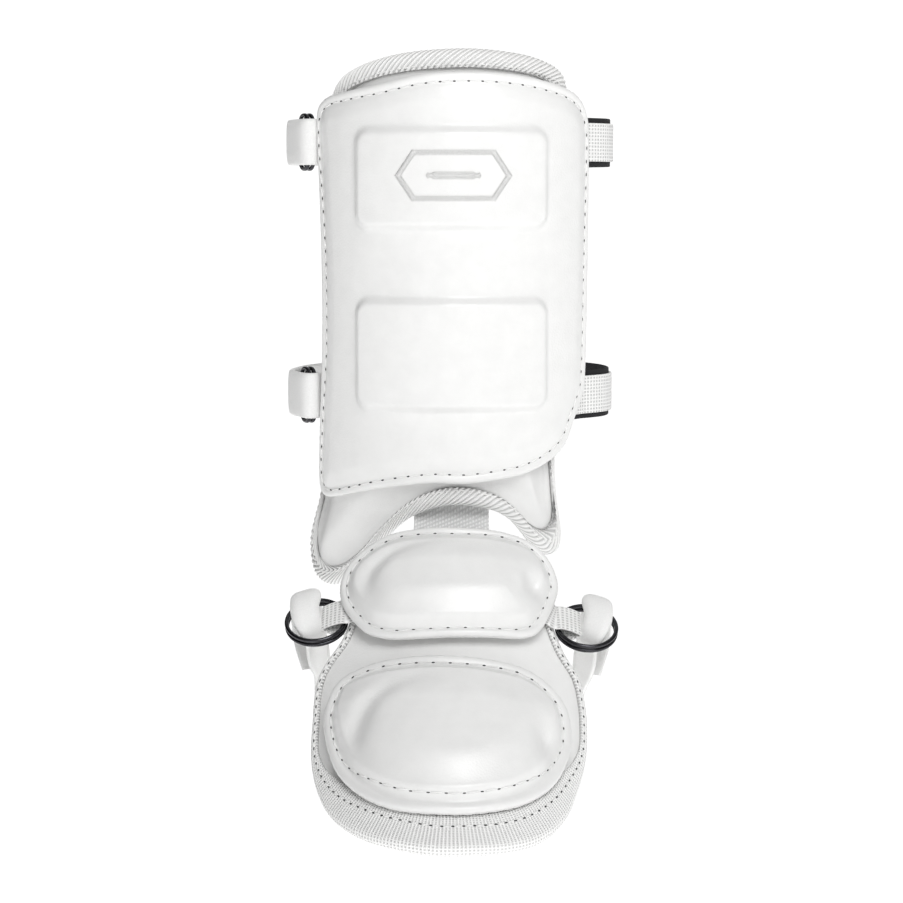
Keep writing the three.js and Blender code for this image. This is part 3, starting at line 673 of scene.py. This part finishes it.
# %% Ribbons
def ribbon(stations, width, thickness, steps, across_steps=10):
    """stations: (place, direction of the width, share of the width, fullness). The last
    swells one face: the front one if it is positive, and else the back one."""
    middle = curve_through([s[0] for s in stations], False, steps)
    sides = curve_through([s[1] for s in stations], False, steps)
    spread = curve_through([Vector((s[2], s[3], 0)) for s in stations], False, steps)
    half = thickness / 2
    section = [((k / across_steps - 0.5) * (width - thickness), half)
               for k in range(across_steps + 1)]
    for k in range(1, 6):
        turn = math.pi / 2 - math.pi * k / 6
        section.append(((width - thickness) / 2 + half * math.cos(turn),
                        half * math.sin(turn)))
    section += [(-x, -z) for x, z in section]
    section.append(section[0])
    reach = Walk(middle, False).reach
    last = len(middle) - 1

    def corner(column, row):
        ahead = middle[min(column + 1, last)] - middle[max(column - 1, 0)]
        along = ahead.normalized()
        side = sides[column] - along * sides[column].dot(along)
        side.normalize()
        face = along.cross(side)
        x, z = section[row]
        full = spread[column].y
        swell = full * (1 - (2 * x / width) ** 4) if z * full > 0 else 0
        point = middle[column] + side * x * spread[column].x + face * (z + swell)
        return point, Vector((reach[column], x))

    bm = grid(last, len(section) - 1, corner)
    bmesh.ops.remove_doubles(bm, verts=bm.verts, dist=0.00001)
    ends = [e for e in bm.edges if e.is_boundary]
    bmesh.ops.holes_fill(bm, edges=ends, sides=0)
    return bm


def round_leg(turn, radius, height, full=0.0):
    angle = math.radians(turn)
    return (Vector((radius * math.sin(angle), shin_inner - radius * math.cos(angle), height)),
            up, 1.0, full)


def loop_radius(turn):
    return 86 - 22 * smoothstep(180 - abs(180 - turn), 80, 180)


def left_radius(turn):
    return loop_radius(turn) - 3.5 * (1 - smoothstep(turn, 100, 150))


wire_half, wire_room = 1.1, 1.2
napped_width, napped_thick = 24.5, 2.2
webbing_width, webbing_thick = 20.5, 1.3
napped_half, webbing_half = napped_thick / 2, webbing_thick / 2
print("ribbons ready")

# %% [markdown]
# ## The two shin straps
# Each strap starts under the cover's right edge as mesh webbing on a black loop lining.
# Behind the calf it meets a napped band, which comes round to the left, goes through a
# pair of rings and folds back on itself.

# %% Shin straps, their rings and ring tabs
rim_top = 7 + 2 * gap + tape_thick
lining_thick = 1.2
lining_start = shin_inner + rim_top + lining_thick / 2
starts = [(41, 0), (50, 0), (60, 0), (63.5, 0.07), (68, 0.38), (76, 0.84), (86, 1),
          (100, 1), (116, 1), (132, 1), (148, 1), (164, 1), (180, 1), (196, 1)]
ring_turn, ring_radius, ring_pitch = 65.5, 83.7, 2.75
rear_turn = ring_turn + math.degrees(7.3 / ring_radius)
front_turn = 2 * ring_turn - rear_turn


def ring(name, origin, axes, width, height, squareness, nodes):
    """A closed ring of wire 2.2 mm thick, an oval with blunt ends."""
    half = Vector((width / 2 - wire_room, height / 2 - wire_room))
    power = 2 / squareness
    columns, rows = 96, 14

    def middle(turn):
        c, s = math.cos(turn), math.sin(turn)
        return Vector((half.x * math.copysign(abs(c) ** power, c),
                       half.y * math.copysign(abs(s) ** power, s), 0))

    def corner(column, row):
        turn = 2 * math.pi * (column + 0.5) / columns
        angle = 2 * math.pi * row / rows
        along = (middle(turn + 0.02) - middle(turn - 0.02)).normalized()
        normal = Vector((along.y, -along.x, 0))
        local = middle(turn) + normal * wire_half * math.cos(angle)
        local.z += wire_half * math.sin(angle)
        point = origin + axes[0] * local.x + axes[1] * local.y + axes[2] * local.z
        return point, Vector((column, row))

    return make_object(name, grid(columns, rows, corner), wire, nodes)


for place, height in (("upper", 88.0), ("lower", -47.5)):
    def band(out):
        free = lining_thick / 2
        return [round_leg(turn, lining_start
                          + (loop_radius(turn) + free - lining_start) * share + out, height)
                for turn, share in starts]

    make_object("shin_lining_" + place, ribbon(band(0), 26, lining_thick, 8), lining,
                [f"shin_strap_{place}_lining"])
    over_lining = lining_thick / 2 + gap + webbing_half
    make_object("shin_webbing_" + place,
                ribbon(band(over_lining), webbing_width, webbing_thick, 8),
                mesh_webbing, [f"shin_strap_{place}_webbing"])

    inner = ring_radius - wire_room - gap - napped_half
    outer = ring_radius + ring_pitch + wire_room + gap + napped_half

    def lay(turn, layer=0, full=0.0):
        return turn, left_radius(turn) + napped_half + layer * (napped_thick + gap), full

    def over_seam(turn):
        under = lining_thick + webbing_thick + 2.6 * gap
        return turn, loop_radius(turn) + under + napped_half, 0.0

    nose = front_turn - 0.8
    turns = [over_seam(176), over_seam(163), lay(150), lay(132), lay(116), lay(102), lay(90),
             (79, inner + 0.6, 0), (rear_turn, inner, 0), (nose + 2.2, inner + 0.2, 0),
             (nose + 0.6, inner + 1.2, -0.4), (nose, (inner + outer) / 2, -0.7),
             (nose + 0.6, outer - 1.2, -0.9), (nose + 2.6, outer, -1.2),
             (rear_turn, outer, -1.2), (79, outer + 0.1, -0.9), lay(90, 1.2, -0.5),
             lay(102, 1.1, -0.3), lay(114, 1.1), lay(126, 1.1)]
    make_object("shin_strap_" + place,
                ribbon([round_leg(-turn, radius, height, full) for turn, radius, full in turns],
                       napped_width, napped_thick, 8, 16),
                napped, ["shin_strap_" + place])

    angle = math.radians(ring_turn)
    axes = (Vector((math.cos(angle), -math.sin(angle), 0)), up,
            Vector((-math.sin(angle), -math.cos(angle), 0)))
    for order, number in ((0, "inner"), (1, "outer")):
        origin = round_leg(-ring_turn, ring_radius + order * ring_pitch, height)[0]
        ring(f"shin_wire_{place}_{number}", origin, axes, 17, 31, 2.8,
             [f"shin_ring_{place}_{number}"])

    tab_in = shin_inner + rim_top + gap + webbing_half
    tab_inner = ring_radius - wire_room - gap - webbing_half
    tab_outer = ring_radius + ring_pitch + wire_room + gap + webbing_half
    tabs = [(44, tab_in), (48, tab_in), (52, tab_in), (55.5, tab_in + 0.4),
            (front_turn - 0.6, tab_inner - 0.6), (front_turn + 2.0, tab_inner + 0.5),
            (front_turn + 2.9, (tab_inner + tab_outer) / 2),
            (front_turn + 2.0, tab_outer - 0.5), (front_turn, tab_outer),
            (front_turn - 0.9, tab_outer - 0.1)]
    make_object("shin_tab_" + place,
                ribbon([round_leg(-turn, radius, height) for turn, radius in tabs],
                       webbing_width, webbing_thick, 6),
                mesh_webbing, ["shin_ring_tab_" + place])

# %% [markdown]
# ## The connector between shin and foot
# A wide elastic band lets the foot part tilt. It is sewn behind the arch of the shin pad
# and under the top of the foot base, so only a short grey piece shows between them.

# %% Connector band
band_width, band_thick = 40, 1.6
band_back = band_width ** 2 / (8 * shin_inner) + band_thick / 2 + 2.1
foot_back = band_width ** 2 / (8 * foot_crown) + band_thick / 2 + 2.1
places = [Vector((0, band_back - 1.4, -52)), Vector((0, band_back - 0.84, -70)),
          Vector((0, band_back, -88)), Vector((0, band_back, -100)),
          Vector((0, band_back - 0.8, -109)), on_foot(0, 0.12 * foot_length, -foot_back - 0.8),
          on_foot(0, 0.19 * foot_length, -foot_back + 0.42),
          on_foot(0, 0.26 * foot_length, -foot_back + 1.4)]
make_object("connector_elastic",
            ribbon([(p, across_axis, 1, 0) for p in places], band_width, band_thick, 10),
            elastic, ["connector_band"])

# %% [markdown]
# ## The foot rings, their tabs and the sole strap
# A pair of round rings lies on each side of the instep. A short tab of webbing holds
# them to the base. The sole strap runs as one loop under the sole, comes up through each
# pair and folds over it, gathered and puffed. Its loose ends hang behind the rings.

# %% Foot rings and sole strap
ring_slope = math.radians(33)
slope_out = Vector((0, -math.sin(ring_slope), math.cos(ring_slope)))
slope_up = Vector((0, math.cos(ring_slope), math.sin(ring_slope)))
ring_roll = math.radians(4)
foot_ring_size, foot_ring_out = 33, 69.5
ring_mid = foot_ring_size / 2 - wire_room
ring_y, ring_z, _ = foot_line(0.265 * foot_length)


def ring_frame(hand, sink):
    outward = across_axis * (hand * math.cos(ring_roll)) - slope_out * math.sin(ring_roll)
    face = across_axis * (hand * math.sin(ring_roll)) + slope_out * math.cos(ring_roll)
    origin = Vector((hand * foot_ring_out, ring_y, ring_z - sink))
    return outward, face, origin


def strap_side(side_frame):
    """From the loose end, over the rings, down to where the strap leaves them for the sole.
    A mark is out, up and off the ring's plane, the slant, share of width and fullness."""
    outward, face, origin = side_frame
    top = ring_pitch + wire_room + gap + napped_half + 0.6
    marks = [(3.2, -1.0, -30, 62, 0.8, 0), (4.6, 5.5, -23.5, 48, 0.8, 0),
             (6.4, 12.7, -15.4, 34, 0.75, 0.4), (6.6, 16.0, -5, 24, 0.7, 1.0),
             (6.4, 16.4, 0, 23, 0.67, 1.6), (6.0, 15.6, top - 1.0, 22, 0.66, 2.4),
             (5.4, 12.2, top + 1.3, 20, 0.66, 3.0), (5.8, 6.0, top + 1.8, 16, 0.62, 3.2),
             (5.0, -0.5, 5.8, 22, 0.6, 3.0), (3.0, -5.4, 2.6, 34, 0.55, 1.8),
             (1.0, -7.2, -2.0, 44, 0.5, 0.6), (1.2, -5.2, -7, 54, 0.56, 0.2),
             (1.4, -4.0, -13.5, 64, 0.72, 0), (0.8, -6.0, -24, 78, 0.9, 0)]
    stations = []
    for out, rise, lift, slant, spread, full in marks:
        slant = math.radians(slant)
        side = slope_up * math.sin(slant) - outward * math.cos(slant)
        stations.append((origin + outward * out + slope_up * rise + face * lift,
                         side, spread, full))
    return stations


foot_frames = {"left": ring_frame(-1, 17), "right": ring_frame(1, 20)}
for side_name, hand in (("left", -1), ("right", 1)):
    outward, face, origin = foot_frames[side_name]
    for order, number in ((0, "inner"), (1, "outer")):
        ring(f"foot_wire_{side_name}_{number}", origin + face * order * ring_pitch,
             (outward, slope_up, face), foot_ring_size, foot_ring_size, 2,
             [f"foot_ring_{side_name}_{number}"])
    under = -(wire_room + gap + webbing_half)
    over = ring_pitch - under
    along = (0.29 if hand < 0 else 0.302) * foot_length
    slope = foot_line(along)[2]
    base_up = Vector((0, math.cos(slope), math.sin(slope)))
    stations = [(on_foot(hand * share * base_half, along, lift), base_up, 1, 0)
                for share, lift in ((0.36, 5.2), (0.44, 5.5), (0.52, 7.1), (0.62, 7.1))]
    stations += [(origin + outward * (inward - ring_mid) + slope_up * 2.5 + face * lift,
                  slope_up, 1, 0)
                 for inward, lift in ((-1.5, over + 0.4), (2, over + 0.5), (6, over - 0.5),
                                      (10, over - 2.2), (12, (over + under) / 2),
                                      (10, under + 1.4), (5, under - 0.2), (1, under - 0.5))]
    make_object("foot_tab_" + side_name, ribbon(stations, 17, webbing_thick, 8),
                mesh_webbing, ["foot_ring_tab_" + side_name])

sole = [(-.95, -.6), (-.87, -.8), (-.66, -.95), (-.33, -1), (0, -1), (.33, -1), (.63, -.95),
        (.82, -.8), (.9, -.6)]
sole_out, sole_top, sole_drop = foot_ring_out + 3, ring_z - 20, 66
sole_stations = [(Vector((out * sole_out, ring_y + 6, sole_top + share * sole_drop)),
                  forward_axis, 1, 0) for out, share in sole]
stations = (strap_side(foot_frames["left"]) + sole_stations
            + strap_side(foot_frames["right"])[::-1])
make_object("sole_strap", ribbon(stations, napped_width, napped_thick, 8, 12),
            napped, ["foot_strap"])

# %% [markdown]
# ## Stitches
# Each stitch is a short thread that dives into a needle hole at both ends. One capsule is
# a squashed sphere, laid along the seam and sunk a little. The shade in the needle holes
# is painted: a flat dark oval between the stitches. All stitches of a seam share one mesh,
# which keeps the scene light.

# %% Sewing along an inset line
def seam(name, place, line, middle, inset_at, height_at, pitch, start=0.0, end=1.0,
         thick=0.5, add_stitch_gap_shade=True):
    centre = Vector((0, middle))
    marks = []
    for mark in [line.at(i) for i in range(int(line.length))]:
        spoke = mark - centre
        marks.append(mark - spoke.normalized() * inset_at(mark))
    path = Walk(marks, True)
    count = round(path.length * (end - start) / pitch)
    near = edge_finder(line)
    threads, dots = bmesh.new(), bmesh.new()
    for i in range(count):
        reach = start * path.length + (i + 0.5) * path.length * (end - start) / count
        flat = [path.at(reach + d * pitch) for d in (-0.37, 0, 0.37, 0.5)]
        spots = [place(p.x, p.y, height_at(p.x, p.y, near(p))) for p in flat]
        top = place(flat[1].x, flat[1].y, height_at(flat[1].x, flat[1].y, near(flat[1])) + 1)
        normal = (top - spots[1]).normalized()
        ahead = spots[2] - spots[0]
        side = normal.cross(ahead).normalized()
        turn = Matrix((ahead.normalized(), side, normal)).transposed().to_4x4()
        tilt = Matrix.Rotation(random.gauss(0.06, 0.03), 4, "Z")
        size = Matrix.Diagonal((ahead.length / 2 * mm, thick * mm, thick * 0.9 * mm, 1))
        spot = Matrix.Translation((spots[1] + normal * thick * 0.35) * mm)
        bmesh.ops.create_uvsphere(threads, u_segments=8, v_segments=7, radius=1,
                                  matrix=spot @ turn @ tilt @ size)
        # A flat dark oval between two stitches: painted shade for the needle hole there.
        dot = Matrix.Translation(spots[3] * mm) @ turn
        bmesh.ops.create_uvsphere(dots, u_segments=8, v_segments=4, radius=1,
                                  matrix=dot @ Matrix.Diagonal((0.95 * mm, 0.5 * mm,
                                                                0.2 * mm, 1)))
    make_object(name + "_stitches", threads, thread, [])
    if add_stitch_gap_shade:
        make_object(name + "_stitch_gap_shade", dots, stitch_gap_shade, [])
    else:
        dots.free()


seam("cover", on_shin, cover_line, 0, lambda mark: 4.8, cover_face, 7.0)
seam("instep", on_foot, instep_line, instep_middle, lambda mark: 4.4,
     dome_face(**domes["instep"]), 7.6)
seam("toe", on_foot, toe_line, toe_middle, lambda mark: 5 + 4 * smoothstep(mark.y, 150, 190),
     dome_face(**domes["toe"]), 7.6)


def tape_top(thickness):
    return lambda across, along, edge: thickness + gap + tape_thick


seam("shin_binding", on_shin, shin_line, 0, lambda mark: 8.4, tape_top(7), 4.2, add_stitch_gap_shade=False)
seam("foot_binding", on_foot, base_line, base_middle,
     lambda mark: 4.2 + 10 * smoothstep(mark.y, 0.62 * foot_length, foot_length),
     tape_top(4), 5.0)

# %% [markdown]
# ## A plain embroidered frame
# The upper panel carries a small satin-stitch motif: a long six-sided frame round a bar.
# Satin stitch is a row of long threads side by side across a narrow band, so each thread
# is one thin capsule between the band's two edges.

# %% Satin stitch
def satin(name, corners, band, pitch=0.55):
    threads = bmesh.new()
    for start, end in zip(corners, corners[1:] + corners[:1]):
        ahead = (end - start).normalized()
        across = Vector((-ahead.y, ahead.x)) * band
        for i in range(int((end - start).length / pitch)):
            spot = start + ahead * (i + 0.5) * pitch
            ends = [on_shin(p.x, p.y, cover_face(p.x, p.y, 40) + 0.2)
                    for p in (spot, spot + across)]
            reach = ends[1] - ends[0]
            turn = reach.to_track_quat("X", "Z").to_matrix().to_4x4()
            size = Matrix.Diagonal((reach.length / 2 * mm, 0.3 * mm, 0.3 * mm, 1))
            bmesh.ops.create_uvsphere(
                threads, u_segments=6, v_segments=5, radius=1,
                matrix=Matrix.Translation((ends[0] + ends[1]) / 2 * mm) @ turn @ size)
    return make_object(name, threads, satin_thread, [])


motif_across, motif_height = 1, 70
six_corners = [(1, 0), (0.7, 1), (-0.7, 1), (-1, 0), (-0.7, -1), (0.7, -1)]
for name, wide, tall, band in (("frame", 28, 13.5, 3.4), ("bar", 13, 2.2, 2.2)):
    satin("satin_" + name, [Vector((motif_across + x * wide, motif_height + y * tall))
                            for x, y in six_corners], band)

# %% [markdown]
# ## Camera, light and paper
# The camera stands level with the shin and looks down a little, at the same angle as the
# product photo. The key light is a large softbox at the upper right. The sky is dimmed at
# the left, and a little at the right, so round forms darken towards their edges. Rays that
# come straight from the camera see white paper instead of that dimmed sky.

# %% Studio
def area_light(name, place, target, size, power):
    data = bpy.data.lights.new(name, "AREA")
    data.shape, data.size, data.energy = "SQUARE", size, power
    lamp = bpy.data.objects.new(name, data)
    bpy.context.scene.collection.objects.link(lamp)
    lamp.location = place
    lamp.rotation_euler = (Vector(target) - Vector(place)).to_track_quat("-Z", "Y").to_euler()
    return lamp


area_light("softbox_key", (0.32, -1.35, 0.95), (0, 0, -0.05), 0.85, 13.8)

world = bpy.data.worlds.new("white_studio")
bpy.context.scene.world = world
world.use_nodes = True
tree = world.node_tree
view_dir = add(tree, "ShaderNodeTexCoord").node.outputs["Generated"]
parts = add(tree, "ShaderNodeSeparateXYZ", {}, {"Vector": view_dir}).node.outputs
front_fill = add(tree, "ShaderNodeMapRange", {"From Min": 0.2, "From Max": 0.85,
                                              "To Min": 0.63, "To Max": 1.1},
                 {"Value": parts["Y"]})
left_shade = add(tree, "ShaderNodeMapRange", {"From Min": -0.65, "From Max": -0.12,
                                              "To Min": 0.05, "To Max": 1.0},
                 {"Value": parts["X"]})
right_shade = add(tree, "ShaderNodeMapRange", {"From Min": 0.15, "From Max": 0.75,
                                               "To Min": 1.0, "To Max": 0.4},
                  {"Value": parts["X"]})
both_sides = math_node(tree, "MULTIPLY", left_shade, right_shade)
studio_light = math_node(tree, "MULTIPLY", front_fill, both_sides)
seen = math_node(tree, "MULTIPLY", add(tree, "ShaderNodeLightPath"), 1.1)
tree.links.new(math_node(tree, "MAXIMUM", studio_light, seen),
               tree.nodes["Background"].inputs["Strength"])
tree.nodes["Background"].inputs["Color"].default_value = paint("#FFFFFF")

floor_bm = bmesh.new()
bmesh.ops.create_grid(floor_bm, x_segments=1, y_segments=1, size=12)
floor_mesh = bpy.data.meshes.new("floor_paper")
floor_bm.to_mesh(floor_mesh)
floor_bm.free()
floor = bpy.data.objects.new("floor_paper", floor_mesh)
floor.location = (0, 0, -0.62)
bpy.context.scene.collection.objects.link(floor)
paper = finish("white_paper", "#FDFDFD", "#FFFFFF", speckle(30), 0.9,
               Emission_Color=paint("#FFFFFF"), Emission_Strength=0.62)
floor_mesh.materials.append(paper)

camera_data = bpy.data.cameras.new("product_camera")
camera_data.lens, camera_data.sensor_width = 100, 36
camera = bpy.data.objects.new("product_camera", camera_data)
bpy.context.scene.collection.objects.link(camera)
target, tilt, distance = Vector((0, -0.010, -0.074)), math.radians(6), 1.317
camera.location = target + Vector((0, -math.cos(tilt), math.sin(tilt))) * distance
camera.rotation_euler = (target - camera.location).to_track_quat("-Z", "Y").to_euler()
bpy.context.scene.camera = camera
bpy.context.scene.view_settings.view_transform = "Standard"
print("camera at", camera.location)
